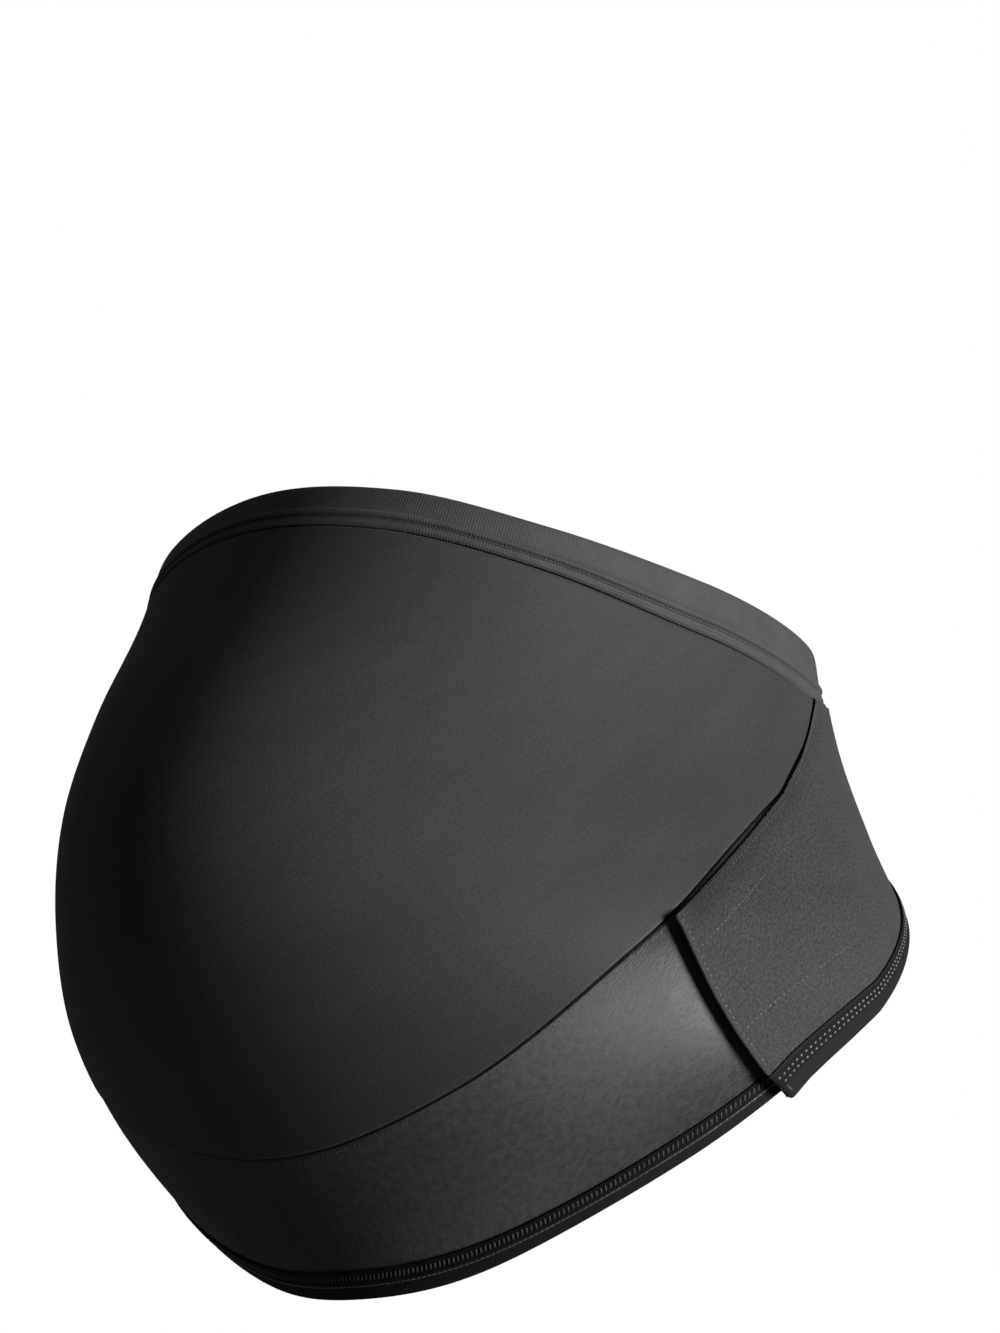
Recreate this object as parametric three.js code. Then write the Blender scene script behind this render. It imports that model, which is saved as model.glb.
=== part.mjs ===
// Maternity support belt: a stretch belly panel in a stitched top band, a firm support band under the belly,
// and a ribbed back wrap whose two wings come round the sides and close on hook patches over the front.
//
// Millimetres, +Z up. The origin is at the waist, on the middle line of the torso that the belt is worn on.
// The wearer faces -Y, and the belt is the same on both sides of the YZ plane.
// Turns are degrees round the torso from the middle of the front, and rises are heights above the origin.

import * as THREE from 'three';

// The whole belt
const beltHeight = 302; // top edge to bottom edge at the middle of the front
const bellyHalfWidth = 174; // middle line to the widest place of the side
const bellyReach = 184; // middle line to the foremost place of the belly
const backReach = 146; // middle line to the hindmost place of the back
const seamGap = 0.4; // between pieces that are sewn edge to edge
const layerGap = 0.4; // between layers that lie on each other

// The bound edges
const bindingWidth = 10;
const bindingWall = 0.6;
const bindingGap = 0.3; // between the binding and the cloth inside it

// The belly panel and the support band
const bellyWall = 1.6;
const bellyProud = 0.6; // the panel's hem lies this much over the support band's face
const bellyTipTurn = 118; // where the panel ends in a point at the side
const supportWall = 2.0;
const supportEndTurn = 131; // side seam, inside the back wrap
const supportTuckTurn = 100; // from here back the support band's bottom edge is hidden inside the wrap
const supportTuckSpan = 16; // over how many degrees that edge is drawn up
const supportTuck = bindingWidth + 6; // and how far, to clear the wrap's binding
const supportBindingTurn = supportTuckTurn - 2; // the front binding runs on under the wing to here

// The top band
const bandWidth = 19;
const bandWall = 2.8;
const ridgeHeight = 1.2; // the rolled ridge along the band's lower edge

// The back wrap and its wings
const wrapWall = 1.8;
const wrapStandOff = 2 * (bindingGap + bindingWall) + layerGap; // room for both bindings, one over the other
const wingEndTurn = 64; // upper corner of the wing's free end
const wingFootLead = 9.5; // how many degrees further back the free end's lower corner lies
const wingLeadSpan = 48; // over how many degrees that slant fades
const wingEndCurve = 3; // how sharply the free end curves towards its lower corner
const wingEndLift = 1.2; // how much the free end stands away
const wingLiftSpan = 9; // over how many degrees it comes back to the belt

// The hook patch under each wing
const patchFrontTurn = 67;
const patchBackTurn = 87;
const patchMargin = 8; // from the wing's free upper edge and from its binding

// Facets
const turnStep = 5;
const bellyRows = 13;
const supportRows = 6;
const patchRows = 5;

// Sections of the torso: shares of beltHeight, bellyHalfWidth, bellyReach and backReach
const sections = [
  { rise: -0.56, width: 0.513, front: 0.453, back: 0.68 },
  { rise: -0.5, width: 0.63, front: 0.511, back: 0.68 },
  { rise: -0.375, width: 0.874, front: 0.632, back: 0.685 },
  { rise: -0.25, width: 0.997, front: 0.778, back: 0.71 },
  { rise: -0.125, width: 0.995, front: 0.914, back: 0.755 },
  { rise: 0, width: 0.886, front: 0.997, back: 0.828 },
  { rise: 0.125, width: 0.778, front: 1, back: 0.912 },
  { rise: 0.25, width: 0.718, front: 0.898, back: 0.974 },
  { rise: 0.375, width: 0.7, front: 0.732, back: 1 },
  { rise: 0.5, width: 0.728, front: 0.585, back: 0.988 },
  { rise: 0.56, width: 0.741, front: 0.514, back: 0.983 },
];

// Edges round the belt: top, seam and foot are shares of beltHeight, drop is a share of bandWidth
const edges = [
  { turn: 0, top: 0.5, drop: 0.805, seam: -0.316, foot: -0.494 },
  { turn: 30, top: 0.468, drop: 0.775, seam: -0.259, foot: -0.469 },
  { turn: 60, top: 0.399, drop: 0.82, seam: -0.112, foot: -0.366 },
  { turn: 90, top: 0.329, drop: 1.17, seam: 0.055, foot: -0.218 },
  { turn: 120, top: 0.273, drop: 1.32, seam: 0.1765, foot: -0.092 },
  { turn: 150, top: 0.2563, drop: 0.97, seam: 0.247, foot: -0.0245 },
  { turn: 180, top: 0.2563, drop: 0.92, seam: 0.269, foot: -0.0285 },
];

// The wing's free upper edge, as a share of beltHeight, up to where it meets the top band
const wingEdge = [
  { turn: 64, rise: -0.0965 },
  { turn: 77, rise: -0.024 },
  { turn: 90, rise: 0.0505 },
  { turn: 103, rise: 0.111 },
  { turn: 116, rise: 0.1815 },
  { turn: 129, rise: 0.258 },
];

// How far the wrap's inner face stands off: bound is a share of wrapStandOff, over is a share of the height
// that clears the belly panel, and sunk is a share of wrapWall
const wrapRest = [
  { turn: 64, bound: 1, over: 0, sunk: 0 },
  { turn: 98, bound: 1, over: 0, sunk: 0 },
  { turn: 119, bound: 0.1, over: 1.05, sunk: 0 },
  { turn: 130, bound: 0, over: 0.6, sunk: 0 },
  { turn: 142, bound: 0, over: 0, sunk: 0.5 },
  { turn: 180, bound: 0, over: 0, sunk: 0.5 },
];

// The top band's section: down is a share of its height, out and in are shares of ridgeHeight and bandWall
const bandSection = [
  { down: 0, out: -0.75, in: 0.62 },
  { down: 0.07, out: 0.1, in: 0.9 },
  { down: 0.3, out: 0.25, in: 1 },
  { down: 0.6, out: 0.2, in: 1 },
  { down: 0.69, out: -0.05, in: 1 },
  { down: 0.8, out: 0.85, in: 1 },
  { down: 0.91, out: 0.95, in: 0.95 },
  { down: 1, out: 0, in: 0.7 },
];

// A binding's section: up is a share of bindingWidth above the cloth's edge, side is 1 on the outer face
// and -1 on the inner face, and under is a share of the binding's depth below the cloth's edge
const bindingSection = [
  { up: 1, side: 1, under: 0 },
  { up: 0, side: 1, under: 0.8 },
  { up: 0, side: 0, under: 1 },
  { up: 0, side: -1, under: 0.8 },
  { up: 1, side: -1, under: 0 },
];

const radians = THREE.MathUtils.degToRad;
const { smoothstep, clamp } = THREE.MathUtils;

// Smooth value of a table's column at a place along its key column; level ends where asked
function readTable(table, key, column, place, levelEnds = false) {
  const last = table.length - 1;
  const at = clamp(place, table[0][key], table[last][key]);
  let i = 0;
  while (i < last - 1 && at > table[i + 1][key]) i += 1;
  const slope = (j) => {
    if (j > 0 && j < last) {
      return (table[j + 1][column] - table[j - 1][column]) / (table[j + 1][key] - table[j - 1][key]);
    }
    const from = Math.min(j, last - 1);
    const chord = (table[from + 1][column] - table[from][column]) / (table[from + 1][key] - table[from][key]);
    return levelEnds ? 0 : chord;
  };
  const span = table[i + 1][key] - table[i][key];
  const t = (at - table[i][key]) / span;
  const t2 = t * t;
  const t3 = t2 * t;
  return (2 * t3 - 3 * t2 + 1) * table[i][column] + (t3 - 2 * t2 + t) * span * slope(i)
    + (3 * t2 - 2 * t3) * table[i + 1][column] + (t3 - t2) * span * slope(i + 1);
}

// Degrees from the middle of the front, 0 to 180, on either side
function sideTurn(turn) {
  const round = ((turn % 360) + 360) % 360;
  return round > 180 ? 360 - round : round;
}

// Place on the torso
function skin(turn, rise) {
  const share = rise / beltHeight;
  const angle = radians(turn);
  const reach = Math.cos(angle) > 0
    ? bellyReach * readTable(sections, 'rise', 'front', share)
    : backReach * readTable(sections, 'rise', 'back', share);
  const width = bellyHalfWidth * readTable(sections, 'rise', 'width', share);
  return new THREE.Vector3(width * Math.sin(angle), -reach * Math.cos(angle), rise);
}

// Place that stands off the torso by so many millimetres, outwards
function layer(turn, rise, off) {
  const here = skin(turn, rise);
  const along = skin(turn + 0.5, rise).sub(skin(turn - 0.5, rise));
  const up = skin(turn, rise + 1).sub(skin(turn, rise - 1));
  return here.addScaledVector(along.cross(up).normalize(), off);
}

const edgeShare = (column, turn) => readTable(edges, 'turn', column, sideTurn(turn), true);
const topRise = (turn) => beltHeight * edgeShare('top', turn);
const seamRise = (turn) => beltHeight * edgeShare('seam', turn);
const footRise = (turn) => beltHeight * edgeShare('foot', turn);
const bandFootRise = (turn) => topRise(turn) - bandWidth * edgeShare('drop', turn);
const bellyTopRise = (turn) => bandFootRise(turn) - seamGap;
const bellyFootRise = (turn) => Math.min(seamRise(turn), bellyTopRise(turn) - seamGap);
const supportTopRise = (turn) => Math.min(seamRise(turn), bandFootRise(turn)) - seamGap;

function supportFootRise(turn) {
  const tuck = supportTuck * smoothstep(sideTurn(turn), supportTuckTurn, supportTuckTurn + supportTuckSpan);
  return footRise(turn) + tuck;
}

// A closed wall along a row of stations, each of which lists its outer and inner places
function wall(stations, isRing = false) {
  const rows = stations[0].outer.length;
  const size = 2 * rows;
  const places = stations.flatMap((s) => [...s.outer, ...[...s.inner].reverse()]);
  const index = [];
  const quad = (a, b, c, d) => {
    const isFirstShorter = places[a].distanceTo(places[c]) <= places[b].distanceTo(places[d]);
    index.push(...(isFirstShorter ? [a, b, c, a, c, d] : [a, b, d, b, c, d]));
  };
  const spans = isRing ? stations.length : stations.length - 1;
  for (let s = 0; s < spans; s += 1) {
    const here = s * size;
    const next = ((s + 1) % stations.length) * size;
    for (let r = 0; r < size; r += 1) {
      const q = (r + 1) % size;
      quad(here + r, next + r, next + q, here + q);
    }
  }
  if (!isRing) {
    const end = (stations.length - 1) * size;
    for (let r = 0; r < rows - 1; r += 1) {
      quad(r, r + 1, size - 2 - r, size - 1 - r);
      quad(end + r, end + size - 1 - r, end + size - 2 - r, end + r + 1);
    }
  }
  const volume = index.reduce((sum, _, i) => (i % 3 ? sum
    : sum + places[index[i]].dot(places[index[i + 1]].clone().cross(places[index[i + 2]]))), 0);
  if (volume < 0) index.reverse();
  const geometry = new THREE.BufferGeometry().setFromPoints(places);
  geometry.setIndex(index);
  geometry.computeVertexNormals();
  return geometry;
}

// Evenly spread values from low to high
function spread(low, high, count) {
  return Array.from({ length: count }, (_, i) => low + (high - low) * (i / (count - 1)));
}

// Turns from first to last: both ends, and whole steps between them, so that the layers' facets match
function turnsBetween(first, last) {
  const least = turnStep / 3;
  const steps = [];
  for (let turn = Math.ceil(first / turnStep) * turnStep; turn < last; turn += turnStep) {
    if (turn - first > least && last - turn > least) steps.push(turn);
  }
  return [first, ...steps, last];
}

// A plain wall round the torso from first to last, through the rises that are given for each turn
function panel(first, last, risesAt, outside, thickness) {
  return wall(turnsBetween(first, last).map((turn) => ({
    outer: risesAt(turn).map((rise) => layer(turn, rise, outside)),
    inner: risesAt(turn).map((rise) => layer(turn, rise, outside - thickness)),
  })));
}

// A folded edge binding: placeAt takes a height above the cloth's edge and a distance off its middle
function binding(stations, clothWall, placeAt) {
  const bare = clothWall / 2 + bindingGap;
  const full = bare + bindingWall;
  const row = (station, half, drop) => bindingSection.map(({ up, side, under }) => (
    placeAt(station, up * bindingWidth - under * drop, side * half)));
  return wall(stations.map((station) => ({
    outer: row(station, full, bindingGap + bindingWall),
    inner: row(station, bare, bindingGap),
  })));
}

function topBand() {
  const turns = turnsBetween(0, 360).slice(0, -1);
  return wall(turns.map((turn) => {
    const top = topRise(turn);
    const height = top - bandFootRise(turn);
    return {
      outer: bandSection.map((row) => layer(turn, top - row.down * height, row.out * ridgeHeight)),
      inner: bandSection.map((row) => layer(turn, top - row.down * height, -row.in * bandWall)),
    };
  }), true);
}

function bellyPanel() {
  const rises = (turn) => spread(bellyFootRise(turn), bellyTopRise(turn), bellyRows);
  return panel(-bellyTipTurn, bellyTipTurn, rises, bellyProud, bellyWall);
}

function supportBand() {
  const rises = (turn) => {
    const foot = supportFootRise(turn);
    return [foot, ...spread(foot + bindingWidth, supportTopRise(turn), supportRows)];
  };
  return panel(-supportEndTurn, supportEndTurn, rises, 0, supportWall);
}

const supportBinding = () => binding(
  turnsBetween(-supportBindingTurn, supportBindingTurn), supportWall,
  (turn, up, off) => layer(turn, footRise(turn) + up, off - supportWall / 2));

// Turn of a place on the wrap: station is the turn at its upper edge, u runs from foot 0 to upper edge 1
function wrapTurn(station, u) {
  const side = sideTurn(station);
  const fade = 1 - smoothstep(side, wingEndTurn, wingEndTurn + wingLeadSpan);
  const lead = wingFootLead * fade * (1 - Math.max(u, 0)) ** wingEndCurve;
  return station > 180 ? station - lead : station + lead;
}

function wrapTopRise(station) {
  const free = beltHeight * readTable(wingEdge, 'turn', 'rise', sideTurn(station));
  return Math.min(free, bandFootRise(station) - seamGap);
}

function wrapRise(station, u) {
  return THREE.MathUtils.lerp(footRise(wrapTurn(station, 0)), wrapTopRise(station), u);
}

const wrapHeight = (station) => wrapTopRise(station) - wrapRise(station, 0);

// The stretch of the wrap's height that a hook patch takes, as shares
function patchShares(station) {
  const height = wrapHeight(station);
  return spread((bindingWidth + patchMargin) / height, 1 - patchMargin / height, patchRows);
}

// Distance of the wrap's inner face from the torso
function wrapInside(station) {
  const side = sideTurn(station);
  const lift = wingEndLift * (1 - smoothstep(side, wingEndTurn, wingEndTurn + wingLiftSpan));
  const share = (column) => readTable(wrapRest, 'turn', column, side);
  const raised = share('bound') * wrapStandOff + share('over') * (bellyProud + layerGap);
  return raised - share('sunk') * wrapWall + lift;
}

function wrapPlace(station, u, off) {
  return layer(wrapTurn(station, u), wrapRise(station, u), wrapInside(station) + off);
}

function wrapStations() {
  return [wingEndTurn, ...turnsBetween(patchFrontTurn, 360 - patchFrontTurn), 360 - wingEndTurn];
}

function backWrap() {
  return wall(wrapStations().map((station) => {
    const rows = [0, bindingWidth / wrapHeight(station), ...patchShares(station), 1];
    return {
      outer: rows.map((u) => wrapPlace(station, u, wrapWall)),
      inner: rows.map((u) => wrapPlace(station, u, 0)),
    };
  }));
}

function wrapBinding() {
  return binding(wrapStations(), wrapWall, (station, up, off) => (
    wrapPlace(station, up / wrapHeight(station), off + wrapWall / 2)));
}

// The patch lies between the support band and the wing; side is 1 on the wearer's left and -1 on the right
function hookPatch(side) {
  return wall(turnsBetween(patchFrontTurn, patchBackTurn).map((turn) => {
    const station = side > 0 ? turn : 360 - turn;
    return {
      outer: patchShares(station).map((u) => wrapPlace(station, u, -layerGap)),
      inner: patchShares(station).map((u) => wrapPlace(station, u, layerGap - wrapInside(station))),
    };
  }));
}

function cloth(color, roughness) {
  return new THREE.MeshStandardMaterial({ color, roughness, metalness: 0 });
}

const belt = new THREE.Group();

function add(name, geometry, material) {
  const mesh = new THREE.Mesh(geometry, material);
  mesh.name = name;
  belt.add(mesh);
}

add('top_band', topBand(), cloth(0x17181b, 0.8));
add('belly_panel', bellyPanel(), cloth(0x121317, 0.9));
add('support_band', supportBand(), cloth(0x1b1c20, 0.55));
add('support_binding', supportBinding(), cloth(0x101114, 0.8));
add('back_wrap', backWrap(), cloth(0x1a1b1e, 0.95));
add('wrap_binding', wrapBinding(), cloth(0x101114, 0.8));
add('hook_patch_left', hookPatch(1), cloth(0x0d0d0f, 1.0));
add('hook_patch_right', hookPatch(-1), cloth(0x0d0d0f, 1.0));

export default belt;
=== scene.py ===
"""Maternity support belt, dressed: its cloths, tapes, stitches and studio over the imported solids.

Metres, +Z up, and the wearer faces -Y. Turns are degrees round the torso from the middle of the front,
growing towards +X, and rises are heights above the waist mount, both as in the part's own source.
"""

import math
from bisect import bisect_right

import bmesh
import bpy
from bpy.props import FloatProperty, FloatVectorProperty, PointerProperty
from mathutils import Matrix, Vector


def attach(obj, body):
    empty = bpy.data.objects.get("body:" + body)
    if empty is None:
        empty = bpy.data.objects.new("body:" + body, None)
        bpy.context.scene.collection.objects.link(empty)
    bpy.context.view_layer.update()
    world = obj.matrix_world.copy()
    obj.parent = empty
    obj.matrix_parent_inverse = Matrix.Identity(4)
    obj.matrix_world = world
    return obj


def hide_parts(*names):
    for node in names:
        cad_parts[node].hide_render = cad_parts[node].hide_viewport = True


bl_info = {
    "name": "Maternity support belt",
    "version": (1, 0, 0),
    "blender": (4, 5, 0),
    "location": "3D View > Sidebar > Belt",
    "description": "Makes the cloths, tapes and stitches of a worn maternity support belt",
    "category": "Add Mesh",
}

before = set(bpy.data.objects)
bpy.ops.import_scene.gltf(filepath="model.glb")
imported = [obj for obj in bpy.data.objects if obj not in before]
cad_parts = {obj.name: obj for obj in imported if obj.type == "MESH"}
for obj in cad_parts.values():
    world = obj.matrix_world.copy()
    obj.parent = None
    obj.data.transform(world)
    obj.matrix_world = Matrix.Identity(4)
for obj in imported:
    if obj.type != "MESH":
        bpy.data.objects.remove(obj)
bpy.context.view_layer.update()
BODY = "root"

MM = 0.001

# Sections of the torso: rise as a share of the belt's height, then shares of its half width and its
# front and back reach. These and the edges below come mostly from a least-squares fit to the photograph,
# rounded, and partly from changes made one by one.
SECTIONS = (
    (-0.56, 0.513, 0.453, 0.68),
    (-0.5, 0.63, 0.511, 0.68),
    (-0.375, 0.874, 0.632, 0.685),
    (-0.25, 0.997, 0.778, 0.71),
    (-0.125, 0.995, 0.914, 0.755),
    (0, 0.886, 0.997, 0.828),
    (0.125, 0.778, 1, 0.912),
    (0.25, 0.718, 0.898, 0.974),
    (0.375, 0.7, 0.732, 1),
    (0.5, 0.728, 0.585, 0.988),
    (0.56, 0.741, 0.514, 0.983),
)

# Edges round the belt: turn, then the top edge, the top band's depth, the belly seam and the bottom
# edge, in shares of the belt's height, but the depth in shares of the band's width
EDGES = (
    (0, 0.5, 0.805, -0.316, -0.494),
    (30, 0.468, 0.775, -0.259, -0.469),
    (60, 0.399, 0.82, -0.112, -0.366),
    (90, 0.329, 1.17, 0.055, -0.218),
    (120, 0.273, 1.32, 0.1765, -0.092),
    (150, 0.2563, 0.97, 0.247, -0.0245),
    (180, 0.2563, 0.92, 0.269, -0.0285),
)

# The wing's free upper edge: turn, rise as a share of the belt's height. It was read off the photograph
# by projecting points onto the torso, and then moved.
WING_EDGE = ((64, -0.0965), (77, -0.024), (90, 0.0505), (103, 0.111), (116, 0.1815), (129, 0.258))

# How far the wrap's inner face stands off: turn, then shares of the bindings' room, of the height that
# clears the belly panel, and of the wrap's wall that it is sunk by
WRAP_REST = (
    (64, 1, 0, 0),
    (98, 1, 0, 0),
    (119, 0.1, 1.05, 0),
    (130, 0, 0.6, 0),
    (142, 0, 0, 0.5),
    (180, 0, 0, 0.5),
)

# The top band's section, from its foot up the outer face and down the inner face: share of its height
# below the top, share of the ridge's height outwards, share of the wall inwards
BAND_SECTION = (
    (1, -0.5, 0),
    (0.975, 0.45, 0),
    (0.94, 0.8, 0),
    (0.9, 0.6, 0),
    (0.865, 0.8, 0),
    (0.84, 0.5, 0),
    (0.822, -0.35, 0),
    (0.79, 0.5, 0),
    (0.758, -0.35, 0),
    (0.73, 0.65, 0),
    (0.69, 1, 0),
    (0.645, 0.7, 0),
    (0.6, 0.28, 0),
    (0.54, 0.2, 0),
    (0.42, 0.22, 0),
    (0.25, 0.26, 0),
    (0.08, 0.12, 0),
    (0.01, -0.5, 0),
    (0, 0, 0.5),
    (0.03, 0, 0.85),
    (0.12, 0, 0.97),
    (0.5, 0, 1),
    (0.85, 0, 1),
    (0.97, 0, 0.88),
    (1, 0, 0.5),
)
BAND_NEEDLE_LINES = (0.822, 0.758)  # shares of the band's height below the top
BAND_OUTER_SHARE = 0.7  # of the section's points, those on the outer face

# Heights of the stitches above the bindings' edges, in millimetres: the wrap's two rows, then the support
# binding's slanting row, by its reach, and the glossy row below it
WRAP_STITCH_ROWS = (6.1, 4.6)
SUPPORT_STITCH_ROW = (6.4, 8.8)
SUPPORT_GLOSSY_ROW = 4.6

# Hems: how deep the stitch line pulls in, as shares of the hem's width from the edge and of its swell
HEM = ((0, -2.8), (0.12, -0.8), (0.35, 0.7), (0.65, 0.9), (0.85, 0), (1, -0.8), (1.15, -0.3), (1.5, 0))

SEAM_STEPS = (0, 0.2, 0.4, 0.6, 0.8, 1.1, 1.6, 3)  # rows beside a sewn edge, in millimetres from it

BELLY_TIP_TURN = 118
SUPPORT_END_TURN = 131
SUPPORT_TUCK_TURN = 100
SUPPORT_TUCK_SPAN = 16
WING_END_TURN = 64
WING_FOOT_LEAD = 9.5
WING_LEAD_SPAN = 48
WING_END_CURVE = 3
WING_LIFT_SPAN = 9
WING_CURL_SPAN = 4.5
WING_SETTLE_IN = 3.5  # degrees from the wing's end over which its upper edge comes to lie on the belt
WING_SETTLE_OUT = (112, 127)  # turns over which that stops again, towards the back
WING_CLIMB_TURNS = (88, 98)  # turns over which the edge climbs from the support band onto the belly panel
WING_REST_LOW = 0.4 * MM  # how far it stands off before the climb
WING_REST_OVER = 0.1 * MM  # and over the belly panel, after it
WING_CURL_DEPTHS = (30 * MM, 70 * MM)  # below the upper edge, where the curl grows to twice as much
PATCH_FRONT_TURN = 67
PATCH_BACK_TURN = 87
PATCH_MARGIN = 8 * MM
PATCH_STITCH_DEPTH = 12.5 * MM  # below the wing's upper edge
PATCH_STITCH_RISE = 22 * MM  # above the wing's foot
PATCH_STITCH_START = 0.4  # degrees behind the stitch line along the wing's end
SUPPORT_TUCK_EXTRA = 6 * MM  # how much more than a binding's width the tucked foot rises by
SUPPORT_BINDING_TURN = SUPPORT_TUCK_TURN - 2  # where the support band's binding ends
SEAM_STITCH_TURN = 95  # where the stitches along the belly seam end
SEAM_STITCH_DROP = 2.4 * MM
BELLY_TAPE = (-4, 4)  # reach of the seam tapes below and above their seams, in millimetres
BAND_TAPE = (-5, 3)
BELLY_TAPE_SHORT = 16  # degrees by which the belly seam's tape ends before the support band

OUTWARD_PROBE = 0.5 * MM  # step off a face that shows its way outwards
TURN_STEP = 1.5  # degrees between a cloth's columns
BELLY_CLIMB = 200  # rough heights in millimetres, used only to space rows near a seam
SUPPORT_CLIMB = 70
HEM_STEPS = (0, 0.0015, 0.004, 0.007, 0.01, 0.0125, 0.015)  # spacing of the wrap's first rows

# Softboxes: azimuth and elevation in degrees, distance and size in metres
KEY_SOFTBOX = (91, -7, 1.6, 0.4)
BACK_SOFTBOX = (225, 2, 1.8, 0.7)

SENSOR_WIDTH = 36  # millimetres
PICTURE_SHAPE = 1000 / 1333  # width by height
AIM_STEPS = 20


class BeltSizes(bpy.types.PropertyGroup):
    """Sizes of the worn belt"""

    height: FloatProperty(
        name="Height", description="Top edge to bottom edge at the middle of the front",
        default=0.302, min=0.2, max=0.4, unit="LENGTH")
    belly_half_width: FloatProperty(
        name="Half width", description="Middle line to the widest place of the side",
        default=0.174, min=0.1, max=0.3, unit="LENGTH")
    belly_reach: FloatProperty(
        name="Belly reach", description="Middle line to the foremost place of the belly",
        default=0.184, min=0.1, max=0.3, unit="LENGTH")
    back_reach: FloatProperty(
        name="Back reach", description="Middle line to the hindmost place of the back",
        default=0.146, min=0.1, max=0.3, unit="LENGTH")
    seam_gap: FloatProperty(
        name="Seam gap", description="Gap between pieces sewn edge to edge",
        default=0.4 * MM, min=0, max=2 * MM, unit="LENGTH", precision=5)
    band_gap: FloatProperty(
        name="Band gap", description="Width of the dark fold between the belly panel and the top band",
        default=0.35 * MM, min=0, max=2 * MM, unit="LENGTH", precision=5)
    layer_gap: FloatProperty(
        name="Layer gap", description="Gap between layers that lie on each other",
        default=0.4 * MM, min=0, max=2 * MM, unit="LENGTH", precision=5)
    belly_wall: FloatProperty(
        name="Belly cloth", description="Thickness of the belly panel",
        default=1.6 * MM, min=0.5 * MM, max=4 * MM, unit="LENGTH", precision=5)
    belly_proud: FloatProperty(
        name="Belly proud", description="How far the belly panel stands over the support band",
        default=0.6 * MM, min=0, max=2 * MM, unit="LENGTH", precision=5)
    support_wall: FloatProperty(
        name="Support cloth", description="Thickness of the support band",
        default=2 * MM, min=0.5 * MM, max=4 * MM, unit="LENGTH", precision=5)
    wrap_wall: FloatProperty(
        name="Wrap cloth", description="Thickness of the back wrap",
        default=1.8 * MM, min=0.5 * MM, max=4 * MM, unit="LENGTH", precision=5)
    wing_end_lift: FloatProperty(
        name="Wing lift", description="How much the wing's free end stands away from the belt",
        default=1.2 * MM, min=0, max=5 * MM, unit="LENGTH", precision=5)
    wing_curl: FloatProperty(
        name="Wing curl",
        description="How much the wing's end curls away at its upper corner, half as much as at its foot",
        default=1.1 * MM, min=0, max=5 * MM, unit="LENGTH", precision=5)
    wing_settle_span: FloatProperty(
        name="Settled edge", description="Width of the wing's upper edge that settles on the belt",
        default=8 * MM, min=1 * MM, max=20 * MM, unit="LENGTH", precision=4)
    wing_corner: FloatProperty(
        name="Wing corner", description="Radius of the wing's lower corner",
        default=3.5 * MM, min=0.5 * MM, max=10 * MM, unit="LENGTH", precision=4)
    seam_roll: FloatProperty(
        name="Seam roll", description="How far an edge rolls inwards at a seam",
        default=1.0 * MM, min=0, max=2 * MM, unit="LENGTH", precision=5)
    binding_width: FloatProperty(
        name="Binding", description="Width of the folded binding on each face",
        default=10 * MM, min=5 * MM, max=20 * MM, unit="LENGTH", precision=4)
    wrap_binding_width: FloatProperty(
        name="Wrap binding", description="Width of the folded binding on each face of the wrap",
        default=8.2 * MM, min=5 * MM, max=20 * MM, unit="LENGTH", precision=4)
    binding_wall: FloatProperty(
        name="Binding tape", description="Thickness of the binding's tape",
        default=0.6 * MM, min=0.2 * MM, max=2 * MM, unit="LENGTH", precision=5)
    binding_gap: FloatProperty(
        name="Binding gap", description="Gap between the binding and the cloth inside it",
        default=0.3 * MM, min=0, max=1 * MM, unit="LENGTH", precision=5)
    band_width: FloatProperty(
        name="Top band", description="Width of the top band where it hangs straight",
        default=19 * MM, min=10 * MM, max=40 * MM, unit="LENGTH", precision=4)
    band_wall: FloatProperty(
        name="Top band wall", description="Thickness of the top band inwards of the torso line",
        default=2.8 * MM, min=1 * MM, max=5 * MM, unit="LENGTH", precision=5)
    ridge_height: FloatProperty(
        name="Ridge", description="Height of the rolled ridge along the top band's foot",
        default=1.2 * MM, min=0, max=3 * MM, unit="LENGTH", precision=5)
    hem_width: FloatProperty(
        name="Hem", description="Edge to stitch line on the wing's folded edges",
        default=2.1 * MM, min=1 * MM, max=6 * MM, unit="LENGTH", precision=5)
    hem_swell: FloatProperty(
        name="Hem swell", description="How much a folded edge swells beside its stitch line",
        default=0.3 * MM, min=0, max=1 * MM, unit="LENGTH", precision=5)
    thread: FloatProperty(
        name="Thread", description="Thickness of the sewing thread",
        default=0.45 * MM, min=0.1 * MM, max=1 * MM, unit="LENGTH", precision=5)
    stitch_pitch: FloatProperty(
        name="Stitch pitch", description="Spacing of the stitches",
        default=2.4 * MM, min=1 * MM, max=6 * MM, unit="LENGTH", precision=5)


class BeltColours(bpy.types.PropertyGroup):
    """Colours of the belt's cloths, tapes and threads"""

    belly: FloatVectorProperty(
        name="Belly panel", description="Colour of the stretch cloth over the belly",
        default=(0.0195, 0.0195, 0.0202), min=0, max=1, subtype="COLOR")
    band: FloatVectorProperty(
        name="Top band", description="Colour of the folded top elastic",
        default=(0.033, 0.033, 0.034), min=0, max=1, subtype="COLOR")
    support: FloatVectorProperty(
        name="Support band", description="Colour of the satin-faced support band",
        default=(0.02, 0.02, 0.0205), min=0, max=1, subtype="COLOR")
    binding: FloatVectorProperty(
        name="Bindings", description="Colour of the fold-over bindings",
        default=(0.006, 0.006, 0.0063), min=0, max=1, subtype="COLOR")
    wrap: FloatVectorProperty(
        name="Back wrap", description="Colour of the ribbed elastic of the wrap and its wings",
        default=(0.0195, 0.0195, 0.0202), min=0, max=1, subtype="COLOR")
    hook: FloatVectorProperty(
        name="Hook patches", description="Colour of the hook tape",
        default=(0.008, 0.008, 0.009), min=0, max=1, subtype="COLOR")
    thread: FloatVectorProperty(
        name="Thread", description="Colour of the sewing thread",
        default=(0.06, 0.06, 0.0615), min=0, max=1, subtype="COLOR")


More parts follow.
